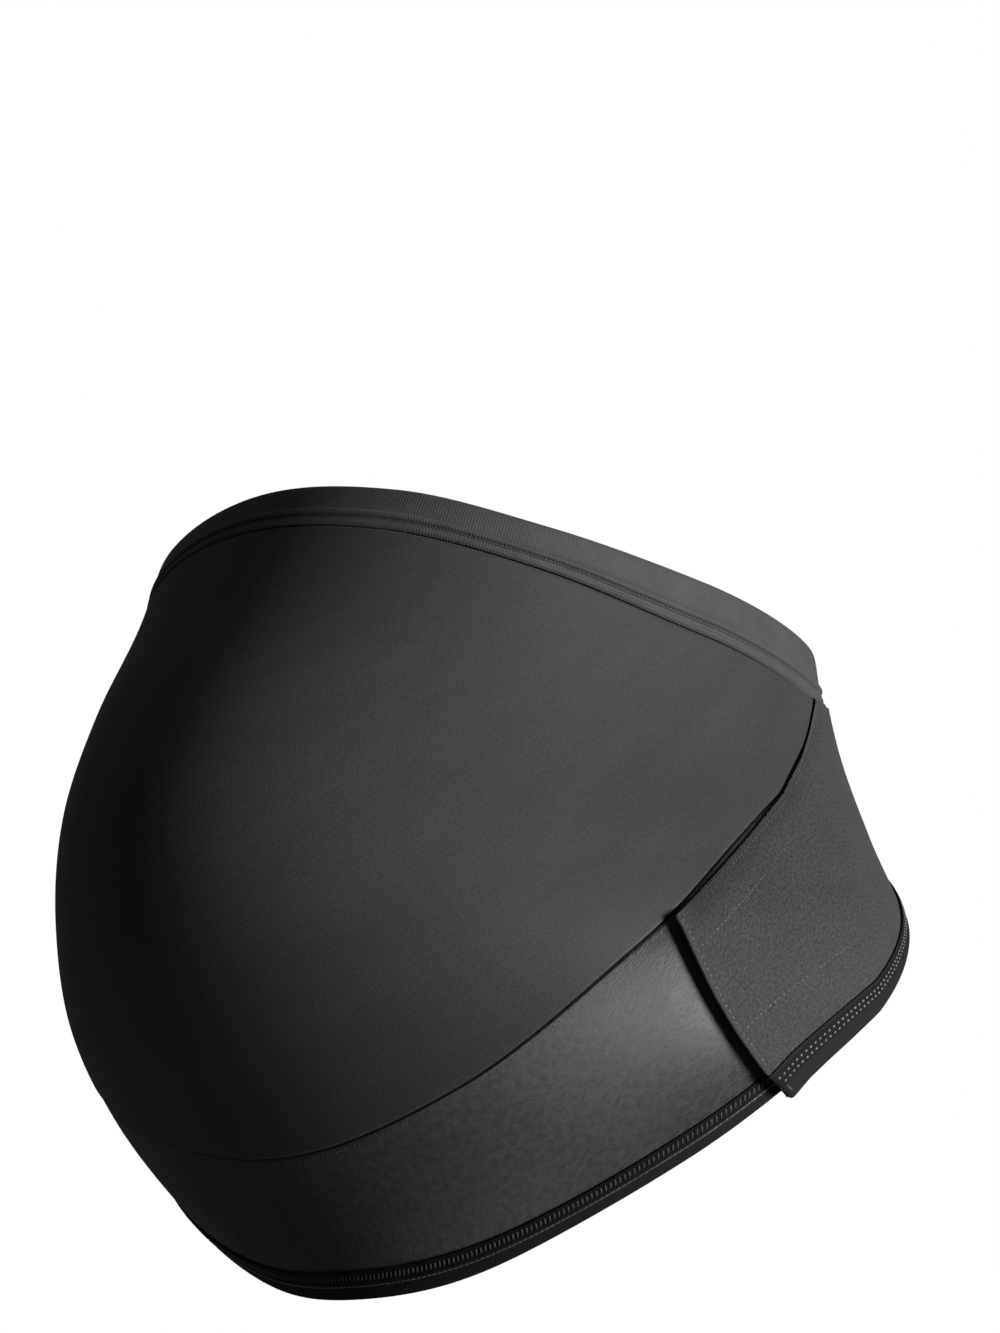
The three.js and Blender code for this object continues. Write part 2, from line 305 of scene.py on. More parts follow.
class StudioSettings(bpy.types.PropertyGroup):
    """Camera and lights"""

    azimuth: FloatProperty(
        name="Azimuth", description="Camera's place round the belt, from the front towards +X",
        default=math.radians(44), subtype="ANGLE")
    elevation: FloatProperty(
        name="Elevation", description="Camera's height above the waist, as an angle",
        default=math.radians(-4), subtype="ANGLE")
    roll: FloatProperty(
        name="Roll", description="How far the picture's content is turned, counter-clockwise",
        default=math.radians(6), subtype="ANGLE")
    distance: FloatProperty(
        name="Distance", description="Camera to waist",
        default=1.45, min=0.5, max=5, unit="LENGTH")
    lens: FloatProperty(
        name="Lens", description="Focal length in millimetres",
        default=100, min=20, max=200)
    origin_across: FloatProperty(
        name="Waist across", description="Where the waist mount falls across the picture, as a share",
        default=0.5, min=0, max=1, subtype="FACTOR")
    origin_down: FloatProperty(
        name="Waist down", description="Where the waist mount falls down the picture, as a share",
        default=0.666, min=0, max=1, subtype="FACTOR")
    key_power: FloatProperty(
        name="Key light", description="Power of the large soft light at the wearer's left, in watts",
        default=56, min=0, max=1000)
    back_power: FloatProperty(
        name="Back light", description="Power of the wide soft light behind the wearer, in watts",
        default=36, min=0, max=1000)
    fill_strength: FloatProperty(
        name="Fill", description="Strength of the room's even light",
        default=0.09, min=0, max=2)
    floor_drop: FloatProperty(
        name="Floor drop", description="Waist mount to floor",
        default=1.9, min=0.2, max=3, unit="LENGTH")


class SmoothLine:
    """A smooth line through values at places, level at both ends where asked."""

    def __init__(self, places, values, level_ends=False):
        self.places, self.values = places, values
        last = len(places) - 1
        rises = [(values[i + 1] - values[i]) / (places[i + 1] - places[i]) for i in range(last)]
        inner = [(values[i + 1] - values[i - 1]) / (places[i + 1] - places[i - 1])
                 for i in range(1, last)]
        first, final = (0, 0) if level_ends else (rises[0], rises[-1])
        self.slopes = [first, *inner, final]

    def __call__(self, place):
        places, values, slopes = self.places, self.values, self.slopes
        at = min(max(place, places[0]), places[-1])
        i = min(bisect_right(places, at), len(places) - 1) - 1
        span = places[i + 1] - places[i]
        t = (at - places[i]) / span
        t2, t3 = t * t, t * t * t
        return ((2 * t3 - 3 * t2 + 1) * values[i] + (t3 - 2 * t2 + t) * span * slopes[i]
                + (3 * t2 - 2 * t3) * values[i + 1] + (t3 - t2) * span * slopes[i + 1])


def lines(table, level_ends=False):
    """One smooth line for each column of a table after its first, which holds the places."""
    places, *columns = zip(*table)
    return [SmoothLine(places, values, level_ends) for values in columns]


def smooth(value, low, high):
    """0 below low, 1 above high, and an even ease between them."""
    t = min(max((value - low) / (high - low), 0), 1)
    return t * t * (3 - 2 * t)


def between(low, high, share):
    return low + (high - low) * share


def spread(low, high, count):
    return [between(low, high, i / (count - 1)) for i in range(count)]


def side_of(turn):
    """Degrees from the middle of the front, 0 to 180, on either side."""
    turn %= 360
    return 360 - turn if turn > 180 else turn


class Belt:
    """Where each part of the worn belt lies, from the sizes in the panel."""

    def __init__(self, sizes):
        for name in BeltSizes.__annotations__:
            setattr(self, name, getattr(sizes, name))
        self.width_line, self.front_line, self.back_line = lines(SECTIONS)
        self.top_line, self.drop_line, self.seam_line, self.foot_line = lines(EDGES, level_ends=True)
        (self.wing_line,) = lines(WING_EDGE)
        self.bound_line, self.over_line, self.sunk_line = lines(WRAP_REST)
        (self.hem_line,) = lines(HEM)
        self.wrap_stand_off = 2 * (self.binding_gap + self.binding_wall) + self.layer_gap

    def skin(self, turn, rise):
        """Place on the torso."""
        share = rise / self.height
        angle = math.radians(turn)
        reach = (self.belly_reach * self.front_line(share) if math.cos(angle) > 0
                 else self.back_reach * self.back_line(share))
        width = self.belly_half_width * self.width_line(share)
        return Vector((width * math.sin(angle), -reach * math.cos(angle), rise))

    def outward(self, turn, rise):
        """Direction away from the torso."""
        along = self.skin(turn + 0.5, rise) - self.skin(turn - 0.5, rise)
        up = self.skin(turn, rise + MM) - self.skin(turn, rise - MM)
        return along.cross(up).normalized()

    def layer(self, turn, rise, off):
        """Place that stands off the torso."""
        return self.skin(turn, rise) + self.outward(turn, rise) * off

    def top_rise(self, turn):
        return self.height * self.top_line(side_of(turn))

    def seam_rise(self, turn):
        return self.height * self.seam_line(side_of(turn))

    def foot_rise(self, turn):
        return self.height * self.foot_line(side_of(turn))

    def band_foot_rise(self, turn):
        return self.top_rise(turn) - self.band_width * self.drop_line(side_of(turn))

    def belly_top_rise(self, turn):
        return self.band_foot_rise(turn) - self.seam_gap

    def belly_foot_rise(self, turn):
        return min(self.seam_rise(turn), self.belly_top_rise(turn) - self.seam_gap)

    def support_top_rise(self, turn):
        return min(self.seam_rise(turn), self.band_foot_rise(turn)) - self.seam_gap

    def support_foot_rise(self, turn):
        tuck = smooth(side_of(turn), SUPPORT_TUCK_TURN, SUPPORT_TUCK_TURN + SUPPORT_TUCK_SPAN)
        return self.foot_rise(turn) + (self.binding_width + SUPPORT_TUCK_EXTRA) * tuck

    def hem(self, distance):
        """How much a folded edge swells at a distance from it."""
        return self.hem_swell * self.hem_line(distance / self.hem_width)

    def rolled(self, distance):
        """How far cloth lies inwards at a distance from its sewn edge."""
        return self.seam_roll * (1 - smooth(distance, -0.2 * MM, 0.9 * MM))

    def belly_place(self, turn, share):
        low = self.belly_foot_rise(turn)
        high = max(self.belly_top_rise(turn) - self.band_gap, low + 0.5 * self.seam_gap)
        rise = between(low, high, share)
        roll = self.rolled(high - rise) + 0.2 * self.rolled(rise - low)
        return self.layer(turn, rise, self.belly_proud - roll)

    def support_place(self, turn, share):
        high = self.support_top_rise(turn)
        rise = between(self.support_foot_rise(turn), high, share)
        return self.layer(turn, rise, -self.rolled(high - rise))

    def support_face_place(self, turn, above_foot, off):
        """Place over the support band: height above its foot, distance off its middle."""
        return self.layer(turn, self.foot_rise(turn) + above_foot, off - self.support_wall / 2)

    def band_place(self, turn, down, off):
        top = self.top_rise(turn)
        return self.layer(turn, between(top, self.band_foot_rise(turn), down), off)

    def wrap_turn(self, station, share):
        """Turn of a place on the wrap, whose free ends slant back towards the foot."""
        fade = 1 - smooth(side_of(station), WING_END_TURN, WING_END_TURN + WING_LEAD_SPAN)
        lead = WING_FOOT_LEAD * fade * (1 - max(share, 0)) ** WING_END_CURVE
        return station - lead if station > 180 else station + lead

    def wrap_top_rise(self, station):
        free = self.height * self.wing_line(side_of(station))
        return min(free, self.band_foot_rise(station) - self.seam_gap)

    def wrap_foot_rise(self, station):
        return self.foot_rise(self.wrap_turn(station, 0))

    def wrap_height(self, station):
        return self.wrap_top_rise(station) - self.wrap_foot_rise(station)

    def wrap_inside(self, station):
        """Distance of the wrap's inner face from the torso."""
        side = side_of(station)
        lift = self.wing_end_lift * (1 - smooth(side, WING_END_TURN, WING_END_TURN + WING_LIFT_SPAN))
        raised = (self.bound_line(side) * self.wrap_stand_off
                  + self.over_line(side) * (self.belly_proud + self.layer_gap))
        return raised - self.sunk_line(side) * self.wrap_wall + lift

    def wing_drape(self, station, from_top):
        """How far the wing moves from its plain stand-off: its free upper edge settles on the belt, and
        its free end curls away, most at the foot."""
        side = side_of(station)
        if side >= WING_EDGE[-1][0]:
            return 0
        rest = between(WING_REST_LOW, self.belly_proud + WING_REST_OVER, smooth(side, *WING_CLIMB_TURNS))
        settle = 1 - smooth(from_top, 0, self.wing_settle_span)
        settle *= (smooth(side, WING_END_TURN, WING_END_TURN + WING_SETTLE_IN)
                   * (1 - smooth(side, *WING_SETTLE_OUT)))
        curl = self.wing_curl * (1 - smooth(side, WING_END_TURN, WING_END_TURN + WING_CURL_SPAN))
        curl *= 1 + smooth(from_top, *WING_CURL_DEPTHS)
        return (rest - self.wrap_inside(station)) * settle + curl

    def corner_lift(self, station, above_foot):
        """How far the rounded corner at the wing's foot rises."""
        side = side_of(station)
        radius = self.wing_corner
        inward = radius - math.radians(side - WING_END_TURN) * self.belly_half_width
        if inward <= 0:
            return 0
        rise = radius - math.sqrt(max(radius ** 2 - inward ** 2, 0))
        return rise * (1 - min(max(above_foot / self.wrap_binding_width, 0), 1))

    def wrap_place(self, station, share, off):
        height = self.wrap_height(station)
        rise = between(self.wrap_foot_rise(station), self.wrap_top_rise(station), share)
        rise += self.corner_lift(station, share * height)
        stand_off = self.wrap_inside(station) + self.wing_drape(station, (1 - share) * height)
        return self.layer(self.wrap_turn(station, share), rise, stand_off + off)

    def wrap_cloth_place(self, station, share):
        """Place on the wrap's outer face, with its hems along the wing's free edges."""
        side = side_of(station)
        from_top = (1 - share) * self.wrap_height(station)
        from_end = math.radians(side - WING_END_TURN) * self.belly_half_width
        is_free = side < WING_EDGE[-1][0]
        swell = min(self.hem(from_end), self.hem(from_top) if is_free else 0, key=lambda v: -abs(v))
        return self.wrap_place(station, share, self.wrap_wall + swell)

    def wrap_edge_painted_highlight(self, station, share):
        """Where a highlight is painted on the wrap: 1 on the wing's folded edges, fading to 0 at their stitch
        lines.
        """
        side = side_of(station)
        if side >= WING_EDGE[-1][0]:
            return 0
        from_top = (1 - share) * self.wrap_height(station)
        from_end = math.radians(side - WING_END_TURN) * self.belly_half_width
        return 1 - smooth(min(from_top, from_end), 0.35 * self.hem_width, 0.6 * self.hem_width)

    def wrap_face_place(self, station, above_foot, off):
        """Place over the wrap: height above its foot, distance off its middle."""
        share = above_foot / self.wrap_height(station)
        return self.wrap_place(station, share, off + self.wrap_wall / 2)


def belt():
    return Belt(bpy.context.scene.belt_sizes)


def colours():
    return bpy.context.scene.belt_colours


def finished(name, bm, material, nodes=()):
    """A shaded object from a bmesh, riding on the belt's body and standing for CAD nodes."""
    mesh = bpy.data.meshes.new(name)
    bm.to_mesh(mesh)
    bm.free()
    mesh.shade_smooth()
    mesh.materials.append(material)
    piece = bpy.data.objects.new(name, mesh)
    bpy.context.scene.collection.objects.link(piece)
    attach(piece, BODY)
    if nodes:
        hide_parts(*nodes)
    return piece


def thicken(piece, wall, rounding=0.4 * MM):
    """Wall inwards from the face in view, with softened edges."""
    solid = piece.modifiers.new("Wall", "SOLIDIFY")
    solid.thickness = wall
    solid.offset = -1
    edges = piece.modifiers.new("Soft edges", "BEVEL")
    edges.limit_method = "ANGLE"
    edges.angle_limit = math.radians(50)
    edges.width = min(rounding, wall * 0.45)
    edges.segments = 3
    edges.profile = 0.5
    edges.harden_normals = True


def cloth_grid(columns, rows, place, ring=False, edge=None):
    """A grid with vertices at place(column, row), facing outwards; its UVs are metres of cloth, and
    edge(column, row) gives how much highlight or shade is painted there, from 0 to 1."""
    bm = bmesh.new()
    across, up = len(columns) - 1, len(rows) - 1
    bmesh.ops.create_grid(bm, x_segments=across, y_segments=up, size=0.5)
    painted_light_mask = bm.verts.layers.float.new("Wear") if edge else None
    spot = {v: (round((v.co.x + 0.5) * across), round((v.co.y + 0.5) * up)) for v in bm.verts}
    at = {ij: place(columns[ij[0]], rows[ij[1]]) for ij in spot.values()}
    for v in bm.verts:
        v.co = at[spot[v]]
        if edge:
            i, j = spot[v]
            v[painted_light_mask] = edge(columns[i], rows[j])
    middle = up // 2
    run, climb = [0.0], {}
    for i in range(across + 1):
        if i:
            run.append(run[-1] + (at[i, middle] - at[i - 1, middle]).length)
        climb[i, 0] = 0.0
        for j in range(1, up + 1):
            climb[i, j] = climb[i, j - 1] + (at[i, j] - at[i, j - 1]).length
    weave = bm.loops.layers.uv.new("Weave")
    for face in bm.faces:
        for loop in face.loops:
            i, j = spot[loop.vert]
            loop[weave].uv = (run[i], climb[i, j])
    if ring:
        bmesh.ops.remove_doubles(bm, verts=bm.verts, dist=0.01 * MM)
    return bm


def turns(first, last, step):
    return spread(first, last, max(2, round((last - first) / step) + 1))


def fine_towards(edge, far, steps, step):
    """Places from an edge, closely spaced at first, and then evenly to the far end."""
    way = 1 if far > edge else -1
    near = [edge + way * s for s in steps]
    return near + spread(near[-1], far, max(2, round(abs(far - near[-1]) / step) + 1))[1:]


def thread_template(length, width, height):
    """One stitch along X on the XY plane."""
    bm = bmesh.new()
    bmesh.ops.create_uvsphere(bm, u_segments=6, v_segments=5, radius=0.5,
                              matrix=Matrix.Rotation(math.pi / 2, 4, "Y"))
    bmesh.ops.scale(bm, vec=(length, width, height), verts=bm.verts)
    mesh = bpy.data.meshes.new("stitch")
    bm.to_mesh(mesh)
    bm.free()
    return mesh


def sew(bm, path, pitch, length, width, height, first=0.5, heading=0.0, samples=360):
    """Adds stitches along path, which gives a place and its outward direction for a share 0 to 1.
    heading turns each stitch on the cloth, in radians."""
    places = [path(i / samples) for i in range(samples + 1)]
    run = [0.0]
    for (a, _), (b, _) in zip(places, places[1:]):
        run.append(run[-1] + (b - a).length)
    stitch = thread_template(length, width, height)
    count = int(run[-1] / pitch - first)
    for n in range(count + 1):
        at = (n + first) * pitch
        if at > run[-1]:
            break
        i = min(bisect_right(run, at), samples) - 1
        share = (at - run[i]) / max(run[i + 1] - run[i], 1e-9)
        (a, out_a), (b, out_b) = places[i], places[i + 1]
        out = out_a.lerp(out_b, share).normalized()
        along = (b - a).normalized()
        across = out.cross(along).normalized()
        along = across.cross(out)
        turned = along * math.cos(heading) + across * math.sin(heading)
        side = out.cross(turned)
        place = Matrix.Translation(a.lerp(b, share)) @ Matrix((turned, side, out)).transposed().to_4x4()
        one = stitch.copy()
        one.transform(place)
        bm.from_mesh(one)
        bpy.data.meshes.remove(one)
    bpy.data.meshes.remove(stitch)


def on_face(place, off=0.0):
    """A path for sew from place(share, off): its place, and the way outwards there."""
    def path(share):
        here = place(share, off)
        return here, (place(share, off + OUTWARD_PROBE) - here).normalized()
    return path


def node(tree, kind, **values):
    """A shader node whose named inputs and settings take the given values."""
    made = tree.nodes.new(kind)
    for key, value in values.items():
        if key in made.bl_rna.properties:
            setattr(made, key, value)
        else:
            made.inputs[key.replace("_", " ")].default_value = value
    return made


def mixed(tree, blend, factor, a, b):
    """A colour mix of two sockets or colours."""
    mix = node(tree, "ShaderNodeMix", data_type="RGBA", blend_type=blend)
    for index, value in ((0, factor), (6, a), (7, b)):
        if isinstance(value, bpy.types.NodeSocket):
            tree.links.new(value, mix.inputs[index])
        elif index == 0:
            mix.inputs[0].default_value = value
        else:
            mix.inputs[index].default_value = (*value[:3], 1)
    return mix.outputs[2]


def blank(name, roughness, sheen=0.0, specular=0.4):
    """A new material, its tree and its shader."""
    material = bpy.data.materials.new(name)
    material.use_nodes = True
    shader = material.node_tree.nodes["Principled BSDF"]
    shader.inputs["Roughness"].default_value = roughness
    shader.inputs["Specular IOR Level"].default_value = specular
    shader.inputs["Sheen Weight"].default_value = sheen
    shader.inputs["Sheen Roughness"].default_value = 0.4
    shader.inputs["Diffuse Roughness"].default_value = 0.3
    return material, material.node_tree, shader


def millimetres(tree, source, turn=0.0, stretch=(1, 1, 1)):
    """Cloth or object coordinates in millimetres."""
    where = node(tree, "ShaderNodeTexCoord")
    scaled = node(tree, "ShaderNodeMapping")
    scaled.inputs["Rotation"].default_value = (0, 0, turn)
    scaled.inputs["Scale"].default_value = tuple(s / MM for s in stretch)
    tree.links.new(where.outputs[source], scaled.inputs["Vector"])
    return scaled.outputs["Vector"]


def ribs(tree, where, pitch, direction, wobble=0.0):
    """Even ribs across the cloth, pitch millimetres apart, as a height from 0 to 1."""
    wave = node(tree, "ShaderNodeTexWave", wave_type="BANDS", bands_direction=direction,
                Scale=math.tau / 20 / pitch, Distortion=wobble, Detail=1.0, Detail_Scale=2.0)
    tree.links.new(where, wave.inputs["Vector"])
    return wave.outputs["Fac"]


def grain(tree, where, size, detail=2.0, rough=0.5):
    """Soft noise whose patches are about size millimetres, from 0 to 1."""
    noise = node(tree, "ShaderNodeTexNoise", Scale=1 / size, Detail=detail, Roughness=rough)
    tree.links.new(where, noise.inputs["Vector"])
    return noise.outputs["Fac"]


def ranged(tree, value, low, high, out_low, out_high):
    scale = node(tree, "ShaderNodeMapRange")
    for socket, number in zip(list(scale.inputs)[1:5], (low, high, out_low, out_high)):
        socket.default_value = number
    tree.links.new(value, scale.inputs[0])
    return scale.outputs[0]


def summed(tree, *parts):
    """Weighted sum of heights: pairs of a socket and its weight."""
    total = None
    for socket, weight in parts:
        scaled = node(tree, "ShaderNodeMath", operation="MULTIPLY")
        tree.links.new(socket, scaled.inputs[0])
        scaled.inputs[1].default_value = weight
        if total is None:
            total = scaled.outputs[0]
        else:
            added = node(tree, "ShaderNodeMath", operation="ADD")
            tree.links.new(total, added.inputs[0])
            tree.links.new(scaled.outputs[0], added.inputs[1])
            total = added.outputs[0]
    return total


def raise_relief(tree, shader, height, depth):
    """Bump of the given depth in metres from a height of 0 to 1."""
    bump = node(tree, "ShaderNodeBump", Strength=1.0, Distance=depth)
    tree.links.new(height, bump.inputs["Height"])
    tree.links.new(bump.outputs["Normal"], shader.inputs["Normal"])


def times(colour, factor):
    return tuple(c * factor for c in colour)


def shades(colour, low, high):
    return [times(colour, low), times(colour, high)]


def toned(tree, value, low, high, dark, light):
    """A colour from dark to light as a value goes from low to high."""
    return mixed(tree, "MIX", ranged(tree, value, low, high, 0, 1), dark, light)


def clouded(tree, base, clouds, dim, full=1.08):
    """A colour made dimmer and fuller by large soft patches."""
    return mixed(tree, "MULTIPLY", 1.0, base, toned(tree, clouds, 0.3, 0.7, (dim,) * 3, (full,) * 3))


def painted_light_mix(tree, base, other):
    """Painted highlight and shade: the other colour where the mesh's painted-light attribute is 1, and base
    where it is 0.
    """
    painted_light_mask = node(tree, "ShaderNodeAttribute", attribute_name="Wear")
    return mixed(tree, "MIX", painted_light_mask.outputs["Fac"], base, other)


def knit_material(colour):
    """Smooth stretch knit: very fine wales and courses, faint flecks and soft large-scale mottling."""
    material, tree, shader = blank("belly stretch knit", 0.72, sheen=0.05, specular=0.35)
    where = millimetres(tree, "UV")
    wales = ribs(tree, where, 0.9, "X", 0.6)
    courses = ribs(tree, where, 0.75, "Y", 0.6)
    flecks = grain(tree, where, 1.1, 3.0, 0.75)
    clouds = grain(tree, millimetres(tree, "UV", 0.5, (0.4, 1.4, 1)), 24.0, 2.0, 0.5)
    dark, light = shades(colour, 0.55, 1.45)
    base = toned(tree, flecks, 0.3, 0.7, dark, light)
    patches = grain(tree, where, 3.2, 2.0, 0.5)
    base = mixed(tree, "MIX", ranged(tree, patches, 0.2, 0.8, 0, 0.35), base, light)
    base = clouded(tree, base, clouds, 0.9)
    tree.links.new(base, shader.inputs["Base Color"])
    fine = summed(tree, (wales, 0.3), (courses, 0.3), (flecks, 0.4))
    raise_relief(tree, shader, summed(tree, (fine, 1.0), (clouds, 1.2)), 0.1 * MM)
    return material


def satin_material(colour):
    """Satin-faced power elastic: floats along the band, a broad sheen and a crushed, uneven grain."""
    material, tree, shader = blank("support satin", 0.5, sheen=0.05, specular=0.4)
    where = millimetres(tree, "UV")
    floats = grain(tree, millimetres(tree, "UV", stretch=(0.35, 2.0, 1)), 0.9, 3.0, 0.6)
    crush = grain(tree, where, 3.2, 4.0, 0.62)
    clouds = grain(tree, where, 26.0, 3.0, 0.6)
    dark, light = shades(colour, 0.6, 1.35)
    base = toned(tree, crush, 0.3, 0.7, dark, light)
    tree.links.new(base, shader.inputs["Base Color"])
    rough = ranged(tree, summed(tree, (crush, 0.5), (clouds, 0.5)), 0.3, 0.7, 0.44, 0.62)
    tree.links.new(rough, shader.inputs["Roughness"])
    shader.inputs["Anisotropic"].default_value = 0.85
    along = node(tree, "ShaderNodeTangent", direction_type="UV_MAP", uv_map="Weave")
    tree.links.new(along.outputs["Tangent"], shader.inputs["Tangent"])
    raise_relief(tree, shader, summed(tree, (floats, 0.5), (crush, 0.5)), 0.22 * MM)
    return material


def wrap_material(colour):
    """Ribbed wide elastic: cords across its width, crossing weft and pale flecks, and a painted highlight
    along the wings' folded edges.
    """
    material, tree, shader = blank("wrap ribbed elastic", 0.82, sheen=0.08, specular=0.35)
    where = millimetres(tree, "UV")
    cords = ribs(tree, where, 1.3, "X", 3.0)
    weft = ribs(tree, where, 0.9, "Y", 3.0)
    flecks = grain(tree, where, 1.3, 3.0, 0.8)
    clouds = grain(tree, where, 18.0, 3.0, 0.6)
    dark, light = shades(colour, 0.25, 1.85)
    base = toned(tree, flecks, 0.32, 0.68, dark, light)
    base = clouded(tree, base, clouds, 0.88)
    # Painted highlight: the wings' folded edges are coloured 2.2 times lighter where the mesh marks them.
    base = painted_light_mix(tree, base, times(colour, 2.2))
    tree.links.new(base, shader.inputs["Base Color"])
    raise_relief(tree, shader, summed(tree, (cords, 0.2), (weft, 0.15), (flecks, 0.65)), 0.5 * MM)
    return material


def band_material(colour):
    """Brushed folded elastic: soft nap over fine cross ribs, with the shade of needle holes painted as dark
    dashes along its stitch lines.
    """
    material, tree, shader = blank("band elastic", 0.78, sheen=0.12, specular=0.35)
    where = millimetres(tree, "UV")
    cross = ribs(tree, where, 1.1, "X", 0.8)
    nap = grain(tree, where, 1.3, 4.0, 0.7)
    clouds = grain(tree, where, 15.0, 3.0, 0.6)
    dark, light = shades(colour, 0.75, 1.25)
    base = toned(tree, summed(tree, (nap, 0.6), (clouds, 0.4)), 0.35, 0.65, dark, light)
    # Painted shade: dark dashes along the stitch lines stand in for the shade in the needle holes.
    sewn = node(tree, "ShaderNodeAttribute", attribute_name="Wear")
    needle_hole_shade = ranged(tree, ribs(tree, where, 1.9, "X", 1.5), 0.2, 0.7, 0.35, 1)
    base = mixed(tree, "MIX", summed(tree, (sewn.outputs["Fac"], 0.9)), base,
                 mixed(tree, "MIX", needle_hole_shade, base, times(colour, 0.12)))
    tree.links.new(base, shader.inputs["Base Color"])
    raise_relief(tree, shader, summed(tree, (cross, 0.45), (nap, 0.55)), 0.2 * MM)
    return material


def tape_material(colour, name="binding tape"):
    """Fold-over elastic tape: fine lengthwise ribs with a slight shine, and painted shade round its stitch
    rows where the mesh marks them.
    """
    material, tree, shader = blank(name, 0.8, specular=0.15)
    where = millimetres(tree, "UV")
    cords = ribs(tree, where, 0.7, "Y", 0.5)
    picks = ribs(tree, where, 0.8, "X", 0.5)
    nap = grain(tree, where, 1.0, 3.0, 0.7)
    dark, light = shades(colour, 0.7, 1.4)
    base = toned(tree, nap, 0.3, 0.7, dark, light)
    # Painted shade: the tape is coloured 0.35 as bright round its stitch rows, where the mesh marks them.
    base = painted_light_mix(tree, base, times(colour, 0.35))
    tree.links.new(base, shader.inputs["Base Color"])
    raise_relief(tree, shader, summed(tree, (cords, 0.4), (picks, 0.3), (nap, 0.3)), 0.18 * MM)
    return material


def thread_material(name, colour, shine=0.45):
    """Twisted sewing thread."""
    material, tree, shader = blank(name, shine, specular=0.5)
    where = millimetres(tree, "Object")
    twist = grain(tree, where, 0.35, 2.0, 0.6)
    patches = grain(tree, where, 9.0, 2.0, 0.6)
    dark, light = shades(colour, 0.55, 1.3)
    base = toned(tree, summed(tree, (twist, 0.5), (patches, 0.5)), 0.35, 0.65, dark, light)
    tree.links.new(base, shader.inputs["Base Color"])
    raise_relief(tree, shader, twist, 0.08 * MM)
    return material


def hook_material(colour):
    """Hook tape: a dense field of small hooks on a woven ground."""
    material, tree, shader = blank("hook tape", 0.7, specular=0.45)
    where = millimetres(tree, "UV")
    hooks = node(tree, "ShaderNodeTexVoronoi", feature="F1", Scale=1.0, Randomness=0.35)
    tree.links.new(where, hooks.inputs["Vector"])
    ground = grain(tree, where, 0.6, 2.0, 0.6)
    dark, light = shades(colour, 0.5, 2.0)
    base = mixed(tree, "MIX", ranged(tree, hooks.outputs["Distance"], 0.1, 0.6, 1, 0), dark, light)
    tree.links.new(base, shader.inputs["Base Color"])
    tip = ranged(tree, hooks.outputs["Distance"], 0.05, 0.5, 1, 0)
    raise_relief(tree, shader, summed(tree, (tip, 0.8), (ground, 0.2)), 0.5 * MM)
    return material


def way_out(turn, lift):
    """Direction from the waist at an azimuth and elevation, in radians."""
    return Vector((math.sin(turn) * math.cos(lift), -math.cos(turn) * math.cos(lift), math.sin(lift)))


def camera_axes(settings):
    """The camera's place and its right, up and back directions, so that the waist mount falls where
    the settings say."""
    roll = settings.roll
    place = way_out(settings.azimuth, settings.elevation) * settings.distance
    focal = settings.lens / SENSOR_WIDTH
    across = (settings.origin_across - 0.5) * PICTURE_SHAPE / focal
    down = (settings.origin_down - 0.5) / focal
    aim = Vector()
    for _ in range(AIM_STEPS):
        ahead = (aim - place).normalized()
        right = ahead.cross(Vector((0, 0, 1))).normalized()
        up = right.cross(ahead)
        level, plumb = right, up
        right = level * math.cos(roll) - plumb * math.sin(roll)
        up = level * math.sin(roll) + plumb * math.cos(roll)
        depth = (-place).dot(ahead)
        miss_across = (-place).dot(right) / depth - across
        miss_down = -(-place).dot(up) / depth - down
        aim += (right * miss_across - up * miss_down) * settings.distance
    return place, right, up, -ahead


